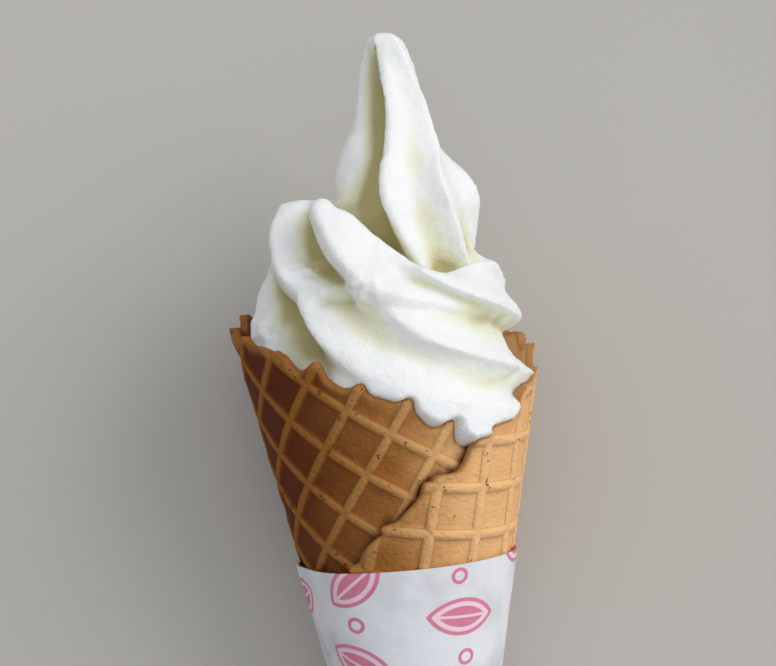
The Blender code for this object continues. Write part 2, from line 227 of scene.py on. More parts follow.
# Smears along the surface: width and height in mm (negative for a crevice), then their course
# as azimuths and heights
STROKES = (
    (1.1, -0.6, ((46, 152.6), (54, 153), (64, 154.5))),
    (1.2, -0.5, ((44, 167), (56, 166.5))),
    (0.8, -1.1, ((-30, 173.5), (-22, 173), (-13, 172.8))),
    (1.9, 1.2, ((-37, 193), (-33, 190), (-26, 184.5), (-17, 180.5), (-10, 176.5))),
    (1.9, 1.4, ((-71, 171), (-61, 164), (-53, 157))),
    (5, 2.4, ((-75, 209.5), (-100, 207))),
    (2.1, -1.2, ((24, 232), (17, 223), (5, 211), (-11, 203), (-19, 196))),
    (2, -0.3, ((60, 228), (58, 220), (54, 211), (44, 202), (43, 195), (52, 187))),
)
# Places that are rounded off: azimuth and height of the middle, their reaches, and how much
SOFT_SPOTS = (
    (-40, 200, 12, 4, 0.9),
    (-84, 197, 24, 5.5, 0.9),
    (0, 174, 6, 4, 0.4),
    (24, 148, 30, 4.5, 1),
    (-8, 153, 14, 4, 0.8),
    (40, 158, 30, 3, 0.25),
    (68, 157, 8, 4, 0.6),
    (-30, 160, 25, 3, 0.3),
)
SOFT_ROUNDS = 150
# Rough places: azimuth and height of the middle, their reaches, depth and grain in mm
ROUGH_SPOTS = (
    (-10, 175.5, 8, 3.4, 1.9, 2.3),
    (-41, 181, 7, 2.5, 1, 2.4),
    (-27, 175.5, 8, 3, 0.7, 2.4),
    (-66, 164, 8, 9, 2.4, 3.6),
    (58, 158, 14, 4, 0.7, 3.5),
    (70, 168, 14, 4, 0.6, 3.5),
)
WET_DEPTH = 0.75  # the places deeper than this are wet
LUMP_SWELL = 0.4  # their mean height against their depth
SERVE_ROUGH = ((8, 3, 0.3, 0), (1.8, 2, 0.1, 9))  # layers for uneven()
SERVE_GRAIN = 0.665 * MM  # size of the mesh's cells
ROUGH_FROM = (118 * MM, 130 * MM)  # below these heights the waffle hides the filling
SERVE_GAP = 0.7 * MM  # between the filling and the waffle, at the rim
DEEP_GAP = 2.6 * MM  # and toward the tip
STEP_WIDTH = math.radians(12)  # how far round the filling keeps clear of a layer's end
FLARE_START = 1.1 * MM  # this near the rim, the filling begins to spread over it
FLARE = 2.2  # how much it spreads, per length past that
# Rounds of smoothing against which a hollow and a crease are measured, and for their values.
# These set where the serve's colour is painted with shade.
HOLLOW_ROUNDS, CREASE_ROUNDS, SHADE_ROUNDS = 300, 25, 12
# How much a crevice stroke deepens the painted shade
CREVICE_SHADE = 0.9


def smoothstep(t):
    t = np.clip(t, 0, 1)
    return t * t * (3 - 2 * t)


def part_way(value, ends):
    """0 before the first end, 1 past the second, and smooth between them."""
    return smoothstep((value - ends[0]) / (ends[1] - ends[0]))


# ---------------------------------------------------------------- helpers on Blender objects


def add(operator, name, **settings):
    """Adds a primitive with nothing else selected."""
    bpy.ops.object.select_all(action="DESELECT")
    operator(**settings)
    made = bpy.context.object
    made.name = made.data.name = name
    return made


def choose(thing):
    """Makes this the one selected object."""
    bpy.ops.object.select_all(action="DESELECT")
    bpy.context.view_layer.objects.active = thing
    thing.select_set(True)


def points_of(thing):
    points = np.empty(3 * len(thing.data.vertices))
    thing.data.vertices.foreach_get("co", points)
    return points.reshape(-1, 3)


def place(thing, points):
    thing.data.vertices.foreach_set("co", points.ravel())
    thing.data.update()


def normals_of(thing):
    normals = np.empty(3 * len(thing.data.vertices))
    thing.data.vertices.foreach_get("normal", normals)
    return normals.reshape(-1, 3)


def pick(thing, chosen, kind="VERT"):
    """Selects just these vertices or faces and goes into edit mode."""
    choose(thing)
    bpy.ops.object.mode_set(mode="EDIT")
    bpy.ops.mesh.select_all(action="DESELECT")
    bpy.ops.mesh.select_mode(type=kind)
    bpy.ops.object.mode_set(mode="OBJECT")
    parts = {"VERT": "vertices", "FACE": "polygons"}[kind]
    getattr(thing.data, parts).foreach_set("select", np.asarray(chosen, bool))
    bpy.ops.object.mode_set(mode="EDIT")


def leave():
    bpy.ops.object.mode_set(mode="OBJECT")


def modify(thing, kind, **settings):
    """Adds a modifier and applies it."""
    choose(thing)
    made = thing.modifiers.new(kind.lower(), kind)
    for key, value in settings.items():
        setattr(made, key, value)
    bpy.ops.object.modifier_apply(modifier=made.name)


def face_out(thing):
    """Turns all its faces outwards."""
    choose(thing)
    bpy.ops.object.mode_set(mode="EDIT")
    bpy.ops.mesh.select_all(action="SELECT")
    bpy.ops.mesh.normals_make_consistent(inside=False)
    leave()


def tube(name, rows):
    """A closed skin over rows of equally many points, from a grid."""
    along, around = rows.shape[:2]
    made = add(
        bpy.ops.mesh.primitive_grid_add,
        name,
        x_subdivisions=around,
        y_subdivisions=along - 1,
        size=1,
    )
    closed = np.concatenate([rows, rows[:, :1]], axis=1)
    place(made, closed.reshape(-1, 3))
    choose(made)
    bpy.ops.object.mode_set(mode="EDIT")
    bpy.ops.mesh.select_all(action="SELECT")
    bpy.ops.mesh.remove_doubles(threshold=0.001 * MM)
    bpy.ops.mesh.select_all(action="SELECT")
    bpy.ops.mesh.fill_holes(sides=0)
    leave()
    face_out(made)
    return made


def rough(points, scale, octaves, seed=0.0):
    """Fractal noise of about this wavelength at each point, from about -1 to 1."""
    return np.array(
        [
            noise.fractal(Vector((x / scale + seed, y / scale, z / scale)), 1.0, 2.0, octaves)
            for x, y, z in points
        ]
    )


def uneven(points, layers):
    """The sum, in mm, of layers of noise: each one's wavelength in mm, octaves, height and seed."""
    return sum(
        height * rough(points, size * MM, octaves, seed) for size, octaves, height, seed in layers
    )


def attribute(thing, name, values):
    made = thing.data.attributes.new(name, "FLOAT", "POINT")
    made.data.foreach_set("value", np.asarray(values, np.float32))


def lay_out(thing, name, flat):
    """Gives the piece a UV map from each vertex's place on a flat sheet."""
    corners = np.empty(len(thing.data.loops), np.int32)
    thing.data.loops.foreach_get("vertex_index", corners)
    made = thing.data.uv_layers.new(name=name)
    made.data.foreach_set("uv", (flat[corners] * UV_PER_METRE).ravel())


def softened(thing, points, rounds):
    """The points after this many rounds of going to the middle of their neighbours."""
    mesh = thing.data
    ends = np.empty(2 * len(mesh.edges), np.int32)
    mesh.edges.foreach_get("vertices", ends)
    a, b = ends.reshape(-1, 2).T
    here, there = np.concatenate([a, b]), np.concatenate([b, a])
    count = np.bincount(here, minlength=len(points))[:, None]
    for _ in range(rounds):
        total = [np.bincount(here, points[there, i], len(points)) for i in range(3)]
        points = np.stack(total, axis=1) / count
    return points


# ---------------------------------------------------------------- the waffle sheet


def bar(across, along):
    """Height of a rounded ridge, as a share: it tapers a little where another crosses it."""
    width = 1 - NARROWED[0] * np.exp(-((along / NARROWED[1]) ** 2))
    share = np.clip(np.abs(across) / (RIDGE_FOOT * width), 0, 1)
    height = 1 - DIPPED[0] * np.exp(-((along / DIPPED[1]) ** 2))
    return (1 - share ** RIDGE_SECTION[0]) ** RIDGE_SECTION[1] * height


def from_ridge(w, start):
    """Distance across the grid from the nearest ridge."""
    return (w - start + PITCH / 2) % PITCH - PITCH / 2


def ridge_share(u, v):
    """1 on a ridge's crest and 0 on a panel, in the grid's own coordinates on the flat sheet."""
    a, b = from_ridge(u, GRID_START[0]), from_ridge(v, GRID_START[1])
    return np.maximum(bar(a, b), bar(b, a))


def grid_to_flat(u, v):
    c, s = math.cos(GRID_TURN), math.sin(GRID_TURN)
    return u * c - v * s, u * s + v * c


def flat_to_grid(x, y):
    c, s = math.cos(GRID_TURN), math.sin(GRID_TURN)
    return x * c + y * s, y * c - x * s


def disc_span(bearing):
    """Distances from the apex to the near and the far side of the disc."""
    middle = DISC_DISTANCE * np.cos(bearing - DISC_BEARING)
    offset = DISC_DISTANCE * np.sin(bearing - DISC_BEARING)
    half = np.sqrt(np.maximum(0, DISC_RADIUS**2 - offset**2))
    return middle - half, middle + half


def crest_radius(wrap, height):
    """Radius of the sheet's ridge crests at this wrap angle and height up the axis."""
    return height * math.tan(HALF_ANGLE) + CREST_START - LAYER_STEP * wrap / TURN


def rim_reach(turn):
    """Distance from the disc's middle to its lobed rim, in this direction."""
    x = DISC_MIDDLE[0] + DISC_RADIUS * np.cos(turn)
    y = DISC_MIDDLE[1] + DISC_RADIUS * np.sin(turn)
    u, v = flat_to_grid(x, y)
    a, b = from_ridge(u, GRID_START[0]), from_ridge(v, GRID_START[1])
    bump = np.exp(-((np.minimum(np.abs(a), np.abs(b)) / RIM_LOBE) ** 2))
    wave = np.sin(RIM_WAVES[0] * turn + 2 * np.sin(RIM_WAVES[1] * turn))
    return DISC_RADIUS + RIM_BUMP * (bump - 0.5 + RIM_WAVES[2] * wave)


def depth_in_disc(points):
    """How far each point of the flat sheet is from the lobed rim."""
    x, y = points[:, 0] - DISC_MIDDLE[0], points[:, 1] - DISC_MIDDLE[1]
    return rim_reach(np.arctan2(y, x)) - np.hypot(x, y)


def wrap_and_height(x, y):
    """The wrap angle and the height up the axis that a place on the flat sheet gets."""
    return np.arctan2(y, x) / FLAT_TURN * TURN, np.hypot(x, y) * math.cos(HALF_ANGLE)


def roll_up(points):
    """Takes points of the flat slab, whose panels are at z = 0, onto the cone."""
    x, y, z = points.T
    wrap, height = wrap_and_height(x, y)
    radius = crest_radius(wrap, height) - RIDGE + z
    return np.stack([radius * np.sin(wrap), -radius * np.cos(wrap), height], axis=1)


def ridge_grid():
    """A flat grid, a little larger than the sheet, with its lines closer on the ridges."""
    per_cell = len(RIDGE_LINES) + PANEL_LINES
    cells = math.ceil(2 * (DISC_DISTANCE + DISC_RADIUS) / PITCH)
    panel = PITCH / MM - RIDGE_LINES[-1] + RIDGE_LINES[0]
    lines = [*RIDGE_LINES]
    lines += [RIDGE_LINES[-1] + panel * (k + 1) / (PANEL_LINES + 1) for k in range(PANEL_LINES)]
    slab = add(
        bpy.ops.mesh.primitive_grid_add,
        "waffle_wrap",
        x_subdivisions=cells * per_cell,
        y_subdivisions=cells * per_cell,
        size=1,
    )
    step = np.round((points_of(slab)[:, :2] + 0.5) * cells * per_cell).astype(int)
    cell, line = np.divmod(step, per_cell)
    grid = np.array(GRID_START) + (cell - cells // 2) * PITCH + np.array(lines)[line] * MM
    x, y = grid_to_flat(*grid.T)
    place(slab, np.stack([x, y, 0 * x], axis=1))
    away = np.hypot(x - DISC_MIDDLE[0], y - DISC_MIDDLE[1])
    wrap, _ = wrap_and_height(x, y)
    out = (away > DISC_RADIUS + SPARE_RIM) | (np.hypot(x, y) < SHEET_TIP - SPARE_TIP)
    out |= (wrap < SHEET_ENDS[0] - SPARE_WRAP) | (wrap > SHEET_ENDS[1] + SPARE_WRAP)
    pick(slab, out)
    bpy.ops.mesh.delete(type="VERT")
    leave()
    return slab


def ridged_slab():
    """The flat sheet before its outline is cut, with its ridges on its upper face."""
    slab = ridge_grid()
    middles = np.empty(3 * len(slab.data.polygons))
    slab.data.polygons.foreach_get("center", middles)
    x, y, _ = middles.reshape(-1, 3).T
    wrap, height = wrap_and_height(x, y)
    shown = (height > SLEEVE_TOP - SPARE_RIM) & (wrap < FINE_WRAP)
    pick(slab, shown, "FACE")
    bpy.ops.mesh.subdivide(number_cuts=1)
    bpy.ops.mesh.select_all(action="SELECT")
    bpy.ops.mesh.extrude_region_move(TRANSFORM_OT_translate={"value": (0, 0, PANEL)})
    leave()
    points = points_of(slab)
    top = points[:, 2] > PANEL / 2
    u, v = flat_to_grid(points[:, 0], points[:, 1])
    points[:, 2] = np.where(top, RIDGE * ridge_share(u, v), -PANEL)
    place(slab, points)
    face_out(slab)
    return slab


def outline_cutter():
    """A thick plate in the outline of the sheet, with its lobed rim."""
    bearings = np.linspace(*(wrap / TURN * FLAT_TURN for wrap in SHEET_ENDS), OUTLINE_STEPS)
    far = disc_span(bearings)[1]
    x, y = far * np.cos(bearings) - DISC_MIDDLE[0], far * np.sin(bearings) - DISC_MIDDLE[1]
    turns = np.linspace(np.arctan2(y[0], x[0]), np.arctan2(y[-1], x[-1]), OUTLINE_STEPS)
    reach = rim_reach(turns)
    rim = np.stack([reach * np.cos(turns), reach * np.sin(turns)], axis=1) + DISC_MIDDLE
    back = bearings[::-INNER_SKIP]
    near = np.maximum(disc_span(back)[0], SHEET_TIP)
    flat = np.concatenate([rim, np.stack([near * np.cos(back), near * np.sin(back)], axis=1)])
    rows = [np.column_stack([flat, np.full(len(flat), level * MM)]) for level in CUTTER_LEVELS]
    return tube("outline_cutter", np.array(rows))


def crevice_share(points):
    """Where painted shadow goes: 1 where the next turn covers the flat sheet, and fading out
    beside that turn's edge.
    """
    turned = np.arctan2(points[:, 1], points[:, 0]) - FLAT_TURN
    slant = np.hypot(points[:, 0], points[:, 1])
    above = np.stack([slant * np.cos(turned), slant * np.sin(turned)], axis=1)
    beside = depth_in_disc(above)
    share = np.where(beside < 0, np.exp(-((beside / CREVICE) ** 2)), 1)
    return np.where(turned > SHEET_ENDS[0] / TURN * FLAT_TURN, share, 0)


def waffle_cone():
    """The ridged slab, cut to its outline, softened at the rim, roughened and rolled up."""
    cone, cutter = ridged_slab(), outline_cutter()
    modify(cone, "BOOLEAN", operation="INTERSECT", object=cutter)
    bpy.data.objects.remove(cutter)
    to_rim = depth_in_disc(points_of(cone))
    pick(cone, to_rim < RIM_SOFT)
    bpy.ops.mesh.vertices_smooth(factor=0.5, repeat=3)
    leave()
    points = points_of(cone)
    top = points[:, 2] > -PANEL / 2
    crest = ridge_share(*flat_to_grid(points[:, 0], points[:, 1]))
    rise, middle, half_width = RIM_SWELL
    swell = rise * np.exp(-(((to_rim / MM - middle) / half_width) ** 2))
    change = uneven(points, WAFFLE_ROUGH) + swell * (1 - RIM_SWELL_LOST * crest)
    points[:, 2] += np.where(top, change * MM, 0)
    attribute(cone, "crest", np.where(top, crest, 0))
    attribute(cone, "crevice", crevice_share(points))
    attribute(cone, "to_rim", np.clip(to_rim / MM, 0, 20))
    place(cone, roll_up(points))
    cone.data.flip_normals()  # rolling swaps left and right
    return cone


# ---------------------------------------------------------------- the paper sleeve


def hug(azimuth):
    """How far the paper's inner face stands off the cone: it follows the outer layer's ridges
    and slopes over the flap's edge."""
    wrap = (azimuth - SHEET_ENDS[0]) % TURN + SHEET_ENDS[0]
    slope = smoothstep((wrap - SHEET_ENDS[0] - TURN + FLAP_RAMP) / FLAP_RAMP)
    return CREST_START + GAP + LAYER_STEP * (slope - wrap / TURN)


def sleeve_rows():
    """Rings of points up the paper's outside and down its inside, from its tip."""
    rows, sides = SLEEVE_STEPS
    heights = np.linspace(SLEEVE_FOOT, SLEEVE_TOP, rows)
    levels = np.concatenate([[SLEEVE_TIP], heights, heights[::-1], [SLEEVE_TIP + PAPER]])
    outside = np.arange(len(levels)) <= rows
    azimuth = (np.arange(sides) / sides - 0.5) * TURN
    lap = part_way(azimuth, (LAP_AZIMUTHS[0], LAP_AZIMUTHS[0] + LAP_RAMP))
    lap *= azimuth < LAP_AZIMUTHS[1]
    base = levels * math.tan(HALF_ANGLE) + PAPER * outside
    reach = base[:, None] + hug(azimuth) + LAP * lap * outside[:, None]
    reach[[0, -1]] = 0
    height = np.repeat(levels[:, None], sides, axis=1)
    return np.stack([reach * np.sin(azimuth), -reach * np.cos(azimuth), height], axis=2)


def paper_sleeve():
    """Paper wrapped round the cone and closed at its tip, with its lap on the left."""
    sleeve = tube("paper_wrap", sleeve_rows())
    points = points_of(sleeve)
    radius = np.hypot(points[:, 0], points[:, 1])
    flat_angle = np.arctan2(points[:, 0], -points[:, 1]) * math.sin(HALF_ANGLE)
    slant = points[:, 2] / math.cos(HALF_ANGLE)
    free = smoothstep((points[:, 2] - SLEEVE_FOOT) / CALM_FOOT)
    wrinkle = uneven(points, PAPER_ROUGH) * MM * free
    push = 1 + np.where(radius > MM, wrinkle / np.maximum(radius, MM), 0)
    points[:, :2] *= push[:, None]
    place(sleeve, points)
    flat = np.stack([slant * np.sin(flat_angle), slant * np.cos(flat_angle)], axis=1)
    lay_out(sleeve, "unrolled", flat)
    return sleeve


# ---------------------------------------------------------------- the soft serve


def sections(centres, radii, ribs, grooves, steps):
    """Star sections: each reaches its radius at the ribs, and less in the grooves between. A
    groove falls gently from the rib on its left and rises steeply to the next one. Also returns
    how deep each point lies in its groove, from 0 to 1."""
    t = np.arange(steps) / steps
    after = np.roll(ribs, -1, axis=1)
    after[:, -1] += 360
    azimuths = np.radians(ribs[:, :, None] + t * (after - ribs)[:, :, None])
    level = centres[:, 2]
    dips, reaches = [], []
    for depth, broad, deepest, full in grooves:
        fall = 1 - (1 - np.clip((t - broad) / (deepest - broad), 0, 1)) ** GROOVE_FALL
        climb = 1 - np.maximum(0, (t - deepest) / (1 - deepest)) ** GROOVE_CLIMB
        dip = np.where(t < deepest, fall, climb)
        share = depth * part_way(level, full)
        dips.append(np.broadcast_to(dip, (len(level), steps)))
        reaches.append(radii[:, None] * (1 - share[:, None] * dip))
    count = len(radii), ribs.shape[1] * steps
    azimuths = azimuths.reshape(count)
    dip, reach = np.hstack(dips), np.hstack(reaches)
    x = centres[:, :1] + reach * np.sin(azimuths)
    y = centres[:, 1:2] - reach * np.cos(azimuths)
    return np.stack([x, y, np.repeat(level[:, None], count[1], axis=1)], axis=2), dip


def through(rows, at):
    """A smooth curve (Catmull-Rom) through the rows, at this many rows from the start."""
    table = np.array([np.hstack(row) for row in rows], float)
    start = np.minimum(at.astype(int), len(rows) - 2)
    t = (at - start)[:, None]
    a, b, c, d = (table[np.clip(start + k, 0, len(rows) - 1)] for k in (-1, 0, 1, 2))
    return b + t / 2 * (c - a + t * (2 * a - 5 * b + 4 * c - d + t * (3 * b - a - 3 * c + d)))


def between_rows(rows, steps):
    return np.arange((len(rows) - 1) * steps + 1) / steps


def bell(azimuth, form):
    """A rise round an azimuth, given by its middle, half its width and its height."""
    middle, half_width, height = form
    return np.exp(-(((azimuth - middle) / half_width) ** 2)) * height


def crown(points, dip, level, lean, radius):
    """How far a turn's upper levels rise, in mm: they slope, stand up as a lip with a horn and
    a dome, and dip in front of the peak's foot."""
    x, y = points[:, :, 0], points[:, :, 1]
    azimuth = np.degrees(np.arctan2(x - lean[:, None], -y))
    high = part_way(level, LIP_LEVELS)
    to_right = SLOPE * part_way(level, SLOPE_LEVELS)
    to_back = TOP_SLOPE * high * part_way(radius, TOP_RADII)
    rise = to_right[:, None] * x + to_back[:, None] * y
    off = azimuth - HORN[0]
    to_left = np.maximum(0, np.cos(np.radians(off))) ** LIP_LEFT
    past = np.maximum(0, off - LIP_FLAT)
    near = np.where(off < 0, to_left, np.exp(-((past / LIP_RIGHT) ** 2)))
    lip = LIP * high * part_way(radius, LIP_RADII)
    rise += lip[:, None] * (1 - LIP_NOTCH * dip) * (near + bell(azimuth, HORN) / LIP)
    rise += bell(azimuth, DOME) * high[:, None]
    rise -= bell(azimuth, TOP_DIP) * (high * part_way(radius, DIP_RADII))[:, None]
    return rise


def rope_turn(name, turn_rows, grooves):
    """One turn of the rope as a closed skin."""
    rows = through(turn_rows, between_rows(turn_rows, TURN_STEPS))
    level, lean, radius = rows[:, :3].T
    radius = np.maximum(turn_rows[0][2], radius)
    centres = np.stack([lean, 0 * lean, level], axis=1)
    points, dip = sections(centres, radius, rows[:, 3:], grooves, RIB_STEPS)
    points[:, :, 2] += crown(points, dip, level, lean, radius)
    return tube(name, points * MM)


def peak():
    """The top of the rope, pulled up to a blunt point."""
    rows = through(PEAK, between_rows(PEAK, PEAK_STEPS))
    height, lean, radius, turn = rows.T
    t = part_way(height, WAIST)[:, None]
    foot, top = np.array(FOOT_RIBS), np.array(PEAK_RIBS)
    ribs = foot + t * (top - foot) + turn[:, None]
    centres = np.stack([lean, 0 * lean, height], axis=1)
    points, _ = sections(centres, radius, ribs, PEAK_GROOVES, PEAK_RIB_STEPS)
    return tube("peak", points * MM)


def room(azimuth, height, step):
    """Largest radius that the filling may have here, inside every layer of the sheet that runs
    this far to the side. Over the rim there is more room."""
    gap = SERVE_GAP + (DEEP_GAP - SERVE_GAP) * np.maximum(0, 1 - height / SLEEVE_TOP)
    limit = np.full(len(azimuth), np.inf)
    slant = height / math.cos(HALF_ANGLE)
    for turns in (-1, 0, 1):
        wrap = azimuth % TURN + turns * TURN
        bearing = wrap / TURN * FLAT_TURN
        flat = np.stack([slant * np.cos(bearing), slant * np.sin(bearing)], axis=1)
        over_rim = np.maximum(0, FLARE_START - depth_in_disc(flat)) * FLARE
        wrap += step
        here = crest_radius(wrap, height) - RIDGE - PANEL - gap + over_rim
        wound = (wrap >= SHEET_ENDS[0]) & (wrap <= SHEET_ENDS[1])
        limit = np.where(wound, np.minimum(limit, here), limit)
    return limit


def press_in(points):
    """Keeps the filling inside the waffle."""
    x, y, z = points.T
    radius = np.hypot(x, y)
    azimuth = np.arctan2(x, -y)
    limit = np.min([room(azimuth, z, step) for step in (-STEP_WIDTH, 0, STEP_WIDTH)], axis=0)
    share = np.where(radius > limit, np.maximum(limit, 0.5 * MM) / np.maximum(radius, MM), 1)
    return np.stack([x * share, y * share, z], axis=1)


def spot_share(points, azimuth, height, wide, high):
    """1 at the middle of a place, fading out over its reaches."""
    x, y, z = points.T
    off = np.degrees(np.arctan2(x, -y)) - azimuth
    off = (off + 180) % 360 - 180
    return np.exp(-((off / wide) ** 2) - ((z / MM - height) / high) ** 2)


def stroke_share(points, width, course):
    """1 on the course and falling off over the width, on the surface laid out flat."""
    x, y, z = points.T / MM
    reach = np.hypot(x, y)
    off = np.full(len(points), np.inf)
    for (a, low), (b, high) in zip(course, course[1:]):
        along = reach * np.radians(b - a), high - low
        here = reach * (np.arctan2(x, -y) - math.radians(a)), z - low
        share = (along[0] * here[0] + along[1] * here[1]) / (along[0] ** 2 + along[1] ** 2)
        share = np.clip(share, 0, 1)
        off = np.minimum(off, np.hypot(here[0] - share * along[0], here[1] - share * along[1]))
    return np.exp(-((off / width) ** 2))


def serve_skin():
    """The turns and the peak in one skin."""
    serve = rope_turn("soft_serve_swirl", LOWER_TURN, LOWER_GROOVES)
    upper = rope_turn("upper_turn", UPPER_TURN, UPPER_GROOVES)
    top = peak()
    choose(serve)
    for other in (upper, top):
        other.select_set(True)
    bpy.ops.object.join()
    modify(serve, "REMESH", mode="VOXEL", voxel_size=SERVE_GRAIN)
    modify(serve, "SMOOTH", factor=0.5, iterations=2)
    return serve


def smeared(serve):
    """Its points with the strokes drawn and the soft spots rounded off, and how deep each one
    lies in a stroke that is a crevice, in mm."""
    points = points_of(serve)
    strokes = [height * stroke_share(points, width, path) for width, height, path in STROKES]
    points += normals_of(serve) * (sum(strokes) * MM)[:, None]
    blunt = softened(serve, points, SOFT_ROUNDS)
    share = sum(most * spot_share(points, *spot) for *spot, most in SOFT_SPOTS)
    points += (blunt - points) * np.minimum(1, share)[:, None]
    return points, sum(np.maximum(0, -stroke) for stroke in strokes)


def lumps(points):
    """How far each point stands out on the uneven skin, in mm, and how wet it is."""
    height = uneven(points, SERVE_ROUGH)
    wet = 0 * height
    for *spot, depth, size in ROUGH_SPOTS:
        share = spot_share(points, *spot)
        height += share * depth * (LUMP_SWELL + rough(points, size * MM, 2, depth))
        wet += share * (depth > WET_DEPTH)
    return height, wet


def note_painted_shade(serve, points, shown, crevice):
    """Notes on each point how hollow it lies, within a wide and a close reach, and how far it
    faces left: the finish paints shade from these."""
    normals = normals_of(serve)
    wide, close = (
        ((softened(serve, points, rounds) - points) * normals).sum(axis=1) / MM
        for rounds in (HOLLOW_ROUNDS, CREASE_ROUNDS)
    )
    # How far it faces left, away from the light, for the painted shade
    left = np.clip(-normals[:, 0], 0, 1)
    fields = np.stack([(wide + CREVICE_SHADE * crevice) * shown, close * shown, left], axis=1)
    fields = softened(serve, fields, SHADE_ROUNDS)
    for name, values in zip(("hollow", "crease", "left"), fields.T):
        attribute(serve, name, values)


def soft_serve():
    """The filling, pressed into the waffle, with what its finish needs noted on its points."""
    serve = serve_skin()
    points, crevice = smeared(serve)
    place(serve, points)
    shown = part_way(points[:, 2], ROUGH_FROM)
    height, wet = lumps(points)
    points += normals_of(serve) * (height * shown * MM)[:, None]
    points = press_in(points)
    place(serve, points)
    attribute(serve, "wet", wet)
    note_painted_shade(serve, points, shown, crevice)
    return serve


# ---------------------------------------------------------------- lying down


def lie(thing):
    """Turns the upright piece onto its back, with its place kept in its mesh."""
    choose(thing)
    thing.matrix_world = LYING
    bpy.ops.object.transform_apply(location=True, rotation=True, scale=True)


def flatten(cone, sleeve):
    """Presses small flats where the sleeve and the waffle's rim meet the ground."""
    points, normals = points_of(sleeve), normals_of(sleeve)
    points[:, 2] = np.maximum(points[:, 2], np.where(normals[:, 2] > 0, PAPER, 0))
    place(sleeve, points)
    points = points_of(cone)
    up_axis = np.array((0, math.cos(REST_TILT), math.sin(REST_TILT)))
    in_sleeve = (points - np.array(APEX)) @ up_axis < SLEEVE_TOP + PITCH / 4
    points[:, 2] = np.maximum(points[:, 2], np.where(in_sleeve, PAPER + GAP, 0))
    place(cone, points)


# ---------------------------------------------------------------- materials


class Wire:
    """A node's output: a sum or product of wires adds the Math node for it."""

    def __init__(self, finish, socket):
        self.finish, self.socket = finish, socket

    def __add__(self, other):
        return self.finish.maths("ADD", self, other)

    def __sub__(self, other):
        return self.finish.maths("SUBTRACT", self, other)

    def __rsub__(self, other):
        return self.finish.maths("SUBTRACT", other, self)

    def __mul__(self, other):
        return self.finish.maths("MULTIPLY", self, other)

    def __truediv__(self, other):
        return self.finish.maths("DIVIDE", self, other)

    def __pow__(self, other):
        return self.finish.maths("POWER", self, other)

    def __abs__(self):
        return self.finish.maths("ABSOLUTE", self)

    __radd__ = __add__
    __rmul__ = __mul__


class Finish:
    """A material with one Principled shader, whose nodes are added by node()."""

    def __init__(self, name):
        self.material = bpy.data.materials.new(name)
        self.material.use_nodes = True
        self.tree = self.material.node_tree
        self.shader = self.tree.nodes["Principled BSDF"]

    def connect(self, socket, value):
        if isinstance(value, Wire):
            self.tree.links.new(value.socket, socket)
        elif isinstance(value, tuple) and len(value) == 3 and socket.type == "RGBA":
            socket.default_value = (*value, 1)
        else:
            socket.default_value = value

    def node(self, kind, settings, inputs, out=0):
        made = self.tree.nodes.new("ShaderNode" + kind)
        for key, value in settings.items():
            setattr(made, key, value)
        for key, value in inputs.items():
            self.connect(made.inputs[key], value)
        return Wire(self, made.outputs[out])

    def maths(self, operation, first, second=0.0):
        return self.node("Math", {"operation": operation}, {0: first, 1: second})

    def set(self, **sockets):
        """Fills these sockets of the Principled shader."""
        for name, value in sockets.items():
            self.connect(self.shader.inputs[name.replace("_", " ").title()], value)

    def spot(self):
        """The place on the piece."""
        return self.node("TexCoord", {}, {}, "Object")

    def value(self, name):
        """One of the piece's own attributes."""
        return self.node("Attribute", {"attribute_name": name}, {}, "Fac")

    def grain(self, vector, scale, detail=2.0, roughness=0.5):
        inputs = {"Vector": vector, "Scale": scale, "Detail": detail, "Roughness": roughness}
        return self.node("TexNoise", {}, inputs)

    def step(self, value, start, end):
        """0 at the start, 1 at the end, smooth between."""
        inputs = {0: value, 1: start, 2: end, 3: 0.0, 4: 1.0}
        return self.node("MapRange", {"interpolation_type": "SMOOTHSTEP"}, inputs)

    def mix(self, share, first, second):
        return self.node("Mix", {"data_type": "RGBA"}, {0: share, 6: first, 7: second}, 2)

    def bump(self, height, depth):
        return self.node("Bump", {}, {"Height": height, "Distance": depth, "Strength": 1.0})


MM_PER_METRE = 1000.0

# The soft serve's own white on its swellings, and painted shade for its shallow hollows and its
# deep grooves
MILK, CREAM_SHADE, OLIVE_SHADE = (0.92, 0.95, 0.93), (0.85, 0.85, 0.66), (0.52, 0.46, 0.21)
SHALLOW, GROOVED = (-0.5, 0.95), (0.7, 2.7)  # the depths over which one turns into the next
# Painted shade: facing left, away from the light, deepens it
LEFT_SHADE = 1.5  # what facing left adds to the depth
# The grains of a finish: how many to a metre, detail and roughness
MOTTLE, ICE, SOFT_ICE = (130.0, 3.0), (1400.0, 4.0, 0.65), (380.0, 2.0)
ICE_RELIEF = 0.45 * MM
GLOW_DEPTH = 6 * MM
GLOW_REACH = (1.0, 0.9, 0.6)  # share of that depth for red, green and blue


def serve_finish():
    f = Finish("soft_serve")
    spot = f.spot()
    mottle = f.grain(spot, *MOTTLE)
    # Painted shade: darker and yellower in hollows, creases, crevices and on the side facing left
    shade = f.value("hollow") + f.value("crease") + f.value("left") * LEFT_SHADE
    shade = shade + (mottle - 0.5) * 0.4
    colour = f.mix(f.step(shade, *SHALLOW), MILK, CREAM_SHADE)
    colour = f.mix(f.step(shade, *GROOVED), colour, OLIVE_SHADE)
    ice = f.grain(spot, *ICE)
    soft_ice = f.grain(spot, *SOFT_ICE)
    wet = f.step(f.value("wet"), 0.25, 0.8)
    relief = f.bump((ice * 0.6 + soft_ice) * (1.0 - wet * 0.7), ICE_RELIEF)
    f.set(base_color=colour, roughness=0.36 + ice * 0.25 - wet * 0.28, normal=relief)
    f.set(subsurface_weight=0.5, subsurface_scale=GLOW_DEPTH)
    f.shader.inputs["Subsurface Radius"].default_value = GLOW_REACH
    return f.material
